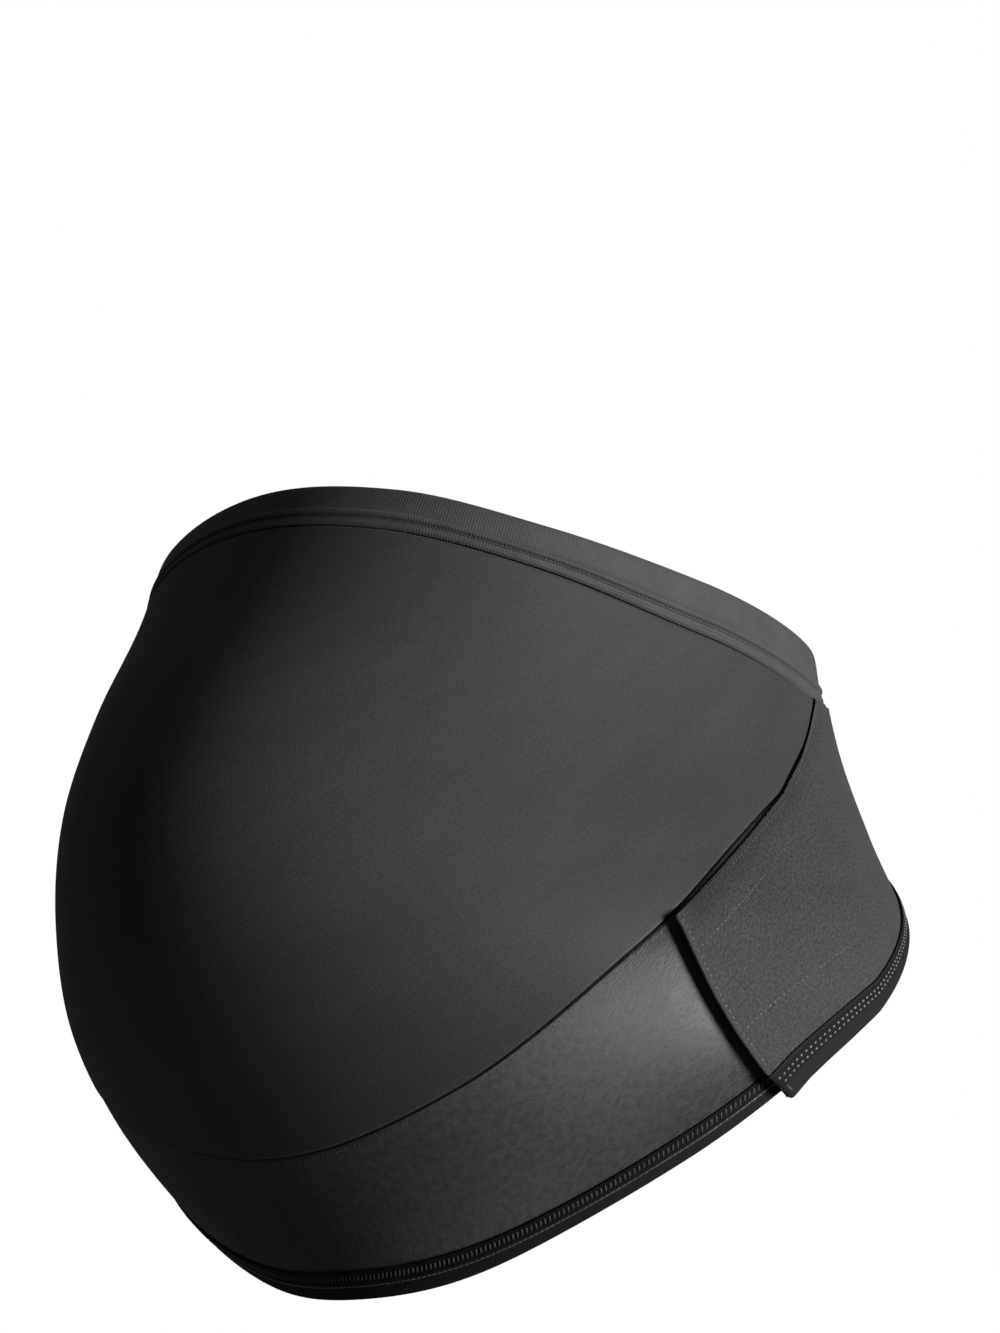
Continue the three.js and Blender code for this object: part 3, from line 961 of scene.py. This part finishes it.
class BELT_OT_stage(bpy.types.Operator):
    """Makes the pale floor, the soft studio light and the camera"""

    bl_idname = "belt.make_stage"
    bl_label = "Stage"

    def execute(self, context):
        settings = context.scene.belt_studio
        self.add_floor(settings)
        self.add_camera(context, settings)
        self.add_light("key softbox", *KEY_SOFTBOX, settings.key_power)
        self.add_light("back softbox", *BACK_SOFTBOX, settings.back_power)
        self.add_room(context, settings)
        context.scene.view_settings.view_transform = "Standard"
        return {"FINISHED"}

    def add_floor(self, settings):
        bm = bmesh.new()
        bmesh.ops.create_grid(bm, x_segments=1, y_segments=1, size=30)
        bmesh.ops.translate(bm, vec=(0, 0, -settings.floor_drop), verts=bm.verts)
        mesh = bpy.data.meshes.new("floor")
        bm.to_mesh(mesh)
        bm.free()
        material, tree, shader = blank("pale floor", 0.9, specular=0.1)
        mottle = grain(tree, millimetres(tree, "Object"), 400.0)
        base = mixed(tree, "MIX", mottle, (0.86, 0.86, 0.86), (0.9, 0.9, 0.9))
        tree.links.new(base, shader.inputs["Base Color"])
        shader.inputs["Emission Color"].default_value = (1, 1, 1, 1)
        shader.inputs["Emission Strength"].default_value = 0.97
        mesh.materials.append(material)
        floor = bpy.data.objects.new("floor", mesh)
        bpy.context.scene.collection.objects.link(floor)
        floor.visible_diffuse = False
        floor.visible_glossy = False

    def add_camera(self, context, settings):
        place, right, up, back = camera_axes(settings)
        data = bpy.data.cameras.new("camera")
        data.lens = settings.lens
        data.sensor_width = SENSOR_WIDTH
        data.clip_start, data.clip_end = 0.05, 100
        camera = bpy.data.objects.new("camera", data)
        camera.matrix_world = Matrix.Translation(place) @ Matrix((right, up, back)).transposed().to_4x4()
        context.scene.collection.objects.link(camera)
        context.scene.camera = camera

    def add_light(self, name, azimuth, elevation, distance, size, power):
        back = way_out(math.radians(azimuth), math.radians(elevation))
        data = bpy.data.lights.new(name, "AREA")
        data.shape = "RECTANGLE"
        data.size = data.size_y = size
        data.energy = power
        light = bpy.data.objects.new(name, data)
        light.location = back * distance
        light.rotation_mode = "QUATERNION"
        light.rotation_quaternion = back.to_track_quat("Z", "Y")
        light.visible_camera = False
        bpy.context.scene.collection.objects.link(light)

    def add_room(self, context, settings):
        world = bpy.data.worlds.new("studio")
        context.scene.world = world
        world.use_nodes = True
        tree = world.node_tree
        fill = tree.nodes["Background"]
        fill.inputs["Color"].default_value = (1, 1, 1, 1)
        fill.inputs["Strength"].default_value = settings.fill_strength
        white = node(tree, "ShaderNodeBackground", Strength=1.0)
        white.inputs["Color"].default_value = (1, 1, 1, 1)
        rays = node(tree, "ShaderNodeLightPath")
        mix = node(tree, "ShaderNodeMixShader")
        tree.links.new(rays.outputs["Is Camera Ray"], mix.inputs[0])
        tree.links.new(fill.outputs[0], mix.inputs[1])
        tree.links.new(white.outputs[0], mix.inputs[2])
        tree.links.new(mix.outputs[0], tree.nodes["World Output"].inputs["Surface"])


class BELT_OT_belly_panel(bpy.types.Operator):
    """Makes the stretch cloth over the belly"""

    bl_idname = "belt.make_belly_panel"
    bl_label = "Belly panel"

    def execute(self, context):
        b = belt()
        near = [d / BELLY_CLIMB for d in SEAM_STEPS]
        low = fine_towards(0, 0.5, near, 0.016)
        rows = low + [1 - r for r in reversed(low[:-1])]
        bm = cloth_grid(turns(-BELLY_TIP_TURN, BELLY_TIP_TURN, TURN_STEP), rows, b.belly_place)
        piece = finished("belly_panel_cloth", bm, knit_material(colours().belly),
                         ["belly_panel"])
        thicken(piece, b.belly_wall)
        # Cut size: 0.65 by 0.27 m as worn, let back by an assumed stretch of 1.16 round and 1.07 up
        return {"FINISHED"}


class BELT_OT_top_band(bpy.types.Operator):
    """Makes the folded top elastic with its rolled ridge"""

    bl_idname = "belt.make_top_band"
    bl_label = "Top band"

    def execute(self, context):
        b = belt()
        steps = list(range(len(BAND_SECTION)))
        down_line, out_line, in_line = [SmoothLine(steps, values) for values in zip(*BAND_SECTION)]

        def place(turn, at):
            off = out_line(at) * b.ridge_height - in_line(at) * b.band_wall
            return b.band_place(turn, down_line(at), off)

        # Marks where the shade of needle holes is painted: near the stitch lines, on the band's outer face.
        def sewn(turn, at):
            near = min(abs(down_line(at) - line) for line in BAND_NEEDLE_LINES)
            outer = at < steps[-1] * BAND_OUTER_SHARE
            return (1 - smooth(near, 0.008, 0.024)) * outer

        rows = spread(0, steps[-1], 3 * steps[-1] + 1)
        bm = cloth_grid(turns(0, 360, TURN_STEP), rows, place, ring=True, edge=sewn)
        finished("top_band_elastic", bm, band_material(colours().band), ["top_band"])
        return {"FINISHED"}


class BELT_OT_support_band(bpy.types.Operator):
    """Makes the satin-faced band under the belly"""

    bl_idname = "belt.make_support_band"
    bl_label = "Support band"

    def execute(self, context):
        b = belt()
        near = [d / SUPPORT_CLIMB for d in SEAM_STEPS]
        rows = [1 - r for r in reversed(fine_towards(0, 1, near, 0.035))]
        bm = cloth_grid(turns(-SUPPORT_END_TURN, SUPPORT_END_TURN, TURN_STEP), rows, b.support_place)
        piece = finished("support_band_cloth", bm, satin_material(colours().support),
                         ["support_band"])
        thicken(piece, b.support_wall)
        # Cut size: 0.76 by 0.091 m as worn, let back by an assumed stretch of 1.15 that narrows it by 2 %
        return {"FINISHED"}


def bound_half(b, wall):
    """Distance from the middle of a bound cloth to its binding's outer face."""
    return wall / 2 + b.binding_gap + b.binding_wall


def leg_share(half, width):
    """Share of a folded tape's own width that lies flat on each face."""
    return width / (2 * width + math.pi * half)


def binding_place(half, width, depth, face_place):
    """Places across a folded tape: share 0 at its inner edge, round under the cloth, to 1 at its
    outer edge. face_place takes a station, a height above the cloth's edge and a distance off its middle."""
    leg = leg_share(half, width)

    def place(station, share):
        if share < leg:
            return face_place(station, width * (1 - share / leg), -half)
        if share > 1 - leg:
            return face_place(station, width * (share - 1 + leg) / leg, half)
        angle = math.pi * (share - leg) / (1 - 2 * leg)
        return face_place(station, -depth * math.sin(angle), -half * math.cos(angle))
    return place


def binding_rows(half, width):
    """Shares across a folded tape, closer together where it bends."""
    leg = leg_share(half, width)
    return [*spread(0, leg, 8), *spread(leg, 1 - leg, 9)[1:-1], *spread(1 - leg, 1, 24)]


def stitch_row_shade(half, width, rows):
    """How much shade is painted on a folded tape, by station and share: 1 round the stitch rows on its outer
    face.
    """
    leg = leg_share(half, width)
    low, high = min(rows) * MM, max(rows) * MM

    def painted_shade(station, share):
        above = width * (share - 1 + leg) / leg
        begun = smooth(above, low - 1.2 * MM, low - 0.7 * MM)
        return begun * (1 - smooth(above, high + 1.1 * MM, high + 1.6 * MM))
    return painted_shade


def make_binding(name, cad_node, wall, width, stations, face_place, rows):
    """A tape folded over a bound edge, with shade painted round its rows of stitches."""
    b = belt()
    depth = b.binding_gap + b.binding_wall
    half = bound_half(b, wall)
    place = binding_place(half, width, depth, face_place)
    bm = cloth_grid(stations, binding_rows(half, width), place, edge=stitch_row_shade(half, width, rows))
    piece = finished(name, bm, tape_material(colours().binding), [cad_node])
    thicken(piece, b.binding_wall, 0.2 * MM)


class BELT_OT_support_binding(bpy.types.Operator):
    """Makes the binding along the support band's bottom edge"""

    bl_idname = "belt.make_support_binding"
    bl_label = "Support binding"

    def execute(self, context):
        b = belt()
        stations = turns(-SUPPORT_BINDING_TURN, SUPPORT_BINDING_TURN, TURN_STEP)
        make_binding("support_binding_tape", "support_binding", b.support_wall, b.binding_width, stations,
                     b.support_face_place, SUPPORT_STITCH_ROW)
        return {"FINISHED"}


def wrap_stations():
    """Stations from one wing's end round the back to the other's, closer together at the ends."""
    near = (0, 0.12, 0.26, 0.42, 0.58, 0.72, 0.86, 1.1)
    half = fine_towards(WING_END_TURN, 180, near, TURN_STEP)
    return half + [360 - station for station in reversed(half[:-1])]


class BELT_OT_back_wrap(bpy.types.Operator):
    """Makes the ribbed wrap round the back with its two wings"""

    bl_idname = "belt.make_back_wrap"
    bl_label = "Back wrap"

    def execute(self, context):
        b = belt()
        near = [d * b.hem_width / 0.1 for d in HEM_STEPS]
        rows = [1 - r for r in reversed(fine_towards(0, 1, near, 0.028))]
        # The edge values say where a highlight is painted along the wings' folded edges.
        bm = cloth_grid(wrap_stations(), rows, b.wrap_cloth_place, edge=b.wrap_edge_painted_highlight)
        piece = finished("back_wrap_cloth", bm, wrap_material(colours().wrap),
                         ["back_wrap"])
        thicken(piece, b.wrap_wall)
        # Cut size: 0.63 by 0.096 m as worn, let back by an assumed stretch of 1.15 that narrows it by 2 %
        return {"FINISHED"}


class BELT_OT_wrap_binding(bpy.types.Operator):
    """Makes the binding along the wrap's bottom edge"""

    bl_idname = "belt.make_wrap_binding"
    bl_label = "Wrap binding"

    def execute(self, context):
        b = belt()
        make_binding("wrap_binding_tape", "wrap_binding", b.wrap_wall, b.wrap_binding_width, wrap_stations(),
                     b.wrap_face_place, WRAP_STITCH_ROWS)
        return {"FINISHED"}


class BELT_OT_hook_patches(bpy.types.Operator):
    """Makes the hook patches between the wings and the belt"""

    bl_idname = "belt.make_hook_patches"
    bl_label = "Hook patches"

    def execute(self, context):
        b = belt()
        material = hook_material(colours().hook)
        for name, mirror in (("left", False), ("right", True)):
            def place(turn, share):
                station = 360 - turn if mirror else turn
                height = b.wrap_height(station)
                low = (b.binding_width + PATCH_MARGIN) / height
                up = between(low, 1 - PATCH_MARGIN / height, share)
                return b.wrap_place(station, up, -b.layer_gap)

            stations = turns(PATCH_FRONT_TURN, PATCH_BACK_TURN, 1.25)
            bm = cloth_grid(stations[::-1] if mirror else stations, spread(0, 1, 21), place)
            piece = finished(f"hook_tape_{name}", bm, material, [f"hook_patch_{name}"])
            thicken(piece, b.wrap_inside(PATCH_BACK_TURN) - 2 * b.layer_gap, 0.2 * MM)
        return {"FINISHED"}


class BELT_OT_seam_tapes(bpy.types.Operator):
    """Makes the narrow tapes that cover the seams inside the belt"""

    bl_idname = "belt.make_seam_tapes"
    bl_label = "Seam tapes"

    def execute(self, context):
        b = belt()
        material = tape_material(colours().binding, "seam tape")
        inside = b.support_wall + b.seam_roll + 0.25 * MM

        def over_belly_seam(turn, share):
            return b.layer(turn, b.support_top_rise(turn) + between(*BELLY_TAPE, share) * MM, -inside)

        def over_band_seam(turn, share):
            return b.layer(turn, b.band_foot_rise(turn) + between(*BAND_TAPE, share) * MM,
                           -b.band_wall - 0.3 * MM)

        end = SUPPORT_END_TURN - BELLY_TAPE_SHORT
        bm = cloth_grid(turns(-end, end, TURN_STEP), spread(0, 1, 7), over_belly_seam)
        thicken(finished("belly_seam_tape", bm, material), 0.5 * MM, 0.15 * MM)
        bm = cloth_grid(turns(0, 360, TURN_STEP), spread(0, 1, 7), over_band_seam, ring=True)
        thicken(finished("band_seam_tape", bm, material), 0.5 * MM, 0.15 * MM)
        return {"FINISHED"}


class BELT_OT_stitches(bpy.types.Operator):
    """Makes the stitch lines of the band, the bindings, the wings and the belly seam"""

    bl_idname = "belt.make_stitches"
    bl_label = "Stitches"

    def execute(self, context):
        b = belt()
        thread = thread_material("thread", colours().thread)
        self.sew_band(b, thread_material("dark thread", colours().binding, 0.7))
        self.sew_wrap_binding(b, thread)
        self.sew_support_binding(b, thread)
        self.sew_wings(b, thread)
        self.sew_belly_seam(b, thread)
        return {"FINISHED"}

    def sew_band(self, b, thread):
        bm = bmesh.new()
        for down in BAND_NEEDLE_LINES:
            sew(bm, on_face(lambda s, off: b.band_place(360 * s, down, off), -0.02 * MM),
                b.stitch_pitch * 0.7, b.stitch_pitch * 0.35, b.thread * 0.8, b.thread * 0.8)
        finished("band_stitches", bm, thread)

    def sew_wrap_binding(self, b, thread):
        half = bound_half(b, b.wrap_wall)
        first, last = WING_END_TURN + 0.5, 360 - WING_END_TURN - 0.5
        bm = bmesh.new()
        for row, above in enumerate(WRAP_STITCH_ROWS):
            sew(bm, on_face(lambda s, off: b.wrap_face_place(between(first, last, s), above * MM, off), half),
                b.stitch_pitch, b.thread * 3, b.thread * 2.6, b.thread * 1.5, first=0.5 + 0.5 * row)
        finished("wrap_binding_stitches", bm, thread)

    def sew_support_binding(self, b, thread):
        half = bound_half(b, b.support_wall)
        end = SUPPORT_BINDING_TURN - 1

        def row(above):
            return on_face(lambda s, off: b.support_face_place(between(-end, end, s), above, off), half)

        bm = bmesh.new()
        sew(bm, row(sum(SUPPORT_STITCH_ROW) / 2 * MM), b.stitch_pitch * 0.85, 2.8 * MM, b.thread * 1.8,
            b.thread, heading=math.radians(60))
        dim = thread_material("support thread", times(colours().thread, 0.4), 0.6)
        finished("support_binding_stitches", bm, dim)
        bm = bmesh.new()
        sew(bm, row(SUPPORT_GLOSSY_ROW * MM), b.stitch_pitch, b.stitch_pitch * 1.3, b.thread * 1.7,
            b.thread * 1.3)
        glossy = thread_material("glossy thread", colours().thread, 0.3)
        finished("support_binding_glossy_stitches", bm, glossy)

    def sew_wings(self, b, thread):
        bm = bmesh.new()
        size = {"pitch": b.stitch_pitch, "length": b.stitch_pitch * 0.6, "width": b.thread,
                "height": b.thread * 0.7}
        end_turn = WING_END_TURN + math.degrees(b.hem_width / b.belly_half_width)
        for mirror in (False, True):
            def side(turn):
                return 360 - turn if mirror else turn

            def along_end(s, off):
                foot = b.binding_width / b.wrap_height(WING_END_TURN)
                return b.wrap_place(side(end_turn), between(foot, 0.975, s), b.wrap_wall + off)

            def along_top(s, off):
                station = side(between(end_turn, WING_EDGE[-1][0] - 1, s))
                share = 1 - b.hem_width / b.wrap_height(station)
                return b.wrap_place(station, share, b.wrap_wall + off)

            def patch_top(s, off):
                station = side(between(end_turn + PATCH_STITCH_START, PATCH_BACK_TURN, s))
                share = 1 - PATCH_STITCH_DEPTH / b.wrap_height(station)
                return b.wrap_place(station, share, b.wrap_wall + off)

            def patch_foot(s, off):
                station = side(between(end_turn + PATCH_STITCH_START, PATCH_BACK_TURN, s))
                return b.wrap_place(station, PATCH_STITCH_RISE / b.wrap_height(station), b.wrap_wall + off)

            for path, off in ((along_end, -0.12), (along_top, -0.12), (patch_top, 0), (patch_foot, 0)):
                sew(bm, on_face(path, off * MM), samples=120, **size)
        finished("wing_stitches", bm, thread)

    def sew_belly_seam(self, b, thread):
        bm = bmesh.new()

        def below_seam(s, off):
            turn = between(-SEAM_STITCH_TURN, SEAM_STITCH_TURN, s)
            return b.layer(turn, b.seam_rise(turn) - SEAM_STITCH_DROP, off)

        sew(bm, on_face(below_seam), b.stitch_pitch, b.stitch_pitch * 0.5, b.thread * 0.7, b.thread * 0.5)
        finished("seam_stitches", bm, thread)


PIECE_OPERATORS = (
    BELT_OT_belly_panel,
    BELT_OT_top_band,
    BELT_OT_support_band,
    BELT_OT_support_binding,
    BELT_OT_back_wrap,
    BELT_OT_wrap_binding,
    BELT_OT_hook_patches,
    BELT_OT_seam_tapes,
    BELT_OT_stitches,
)


class BELT_PT_parts(bpy.types.Panel):
    """Sizes, colours and pieces of the belt"""

    bl_label = "Maternity support belt"
    bl_space_type = "VIEW_3D"
    bl_region_type = "UI"
    bl_category = "Belt"

    def draw(self, context):
        scene = context.scene
        for settings in (scene.belt_sizes, scene.belt_colours, scene.belt_studio):
            box = self.layout.box()
            for name in type(settings).__annotations__:
                box.prop(settings, name)
        for made in (BELT_OT_stage, *PIECE_OPERATORS):
            self.layout.operator(made.bl_idname)


CLASSES = (BeltSizes, BeltColours, StudioSettings, BELT_OT_stage, *PIECE_OPERATORS, BELT_PT_parts)


def register():
    for made in CLASSES:
        bpy.utils.register_class(made)
    bpy.types.Scene.belt_sizes = PointerProperty(type=BeltSizes)
    bpy.types.Scene.belt_colours = PointerProperty(type=BeltColours)
    bpy.types.Scene.belt_studio = PointerProperty(type=StudioSettings)


def unregister():
    del bpy.types.Scene.belt_studio
    del bpy.types.Scene.belt_colours
    del bpy.types.Scene.belt_sizes
    for made in reversed(CLASSES):
        bpy.utils.unregister_class(made)


def main():
    register()
    bpy.ops.belt.make_stage()
    bpy.ops.belt.make_belly_panel()
    bpy.ops.belt.make_top_band()
    bpy.ops.belt.make_support_band()
    bpy.ops.belt.make_support_binding()
    bpy.ops.belt.make_back_wrap()
    bpy.ops.belt.make_wrap_binding()
    bpy.ops.belt.make_hook_patches()
    bpy.ops.belt.make_seam_tapes()
    bpy.ops.belt.make_stitches()


if __name__ == "__main__":
    main()
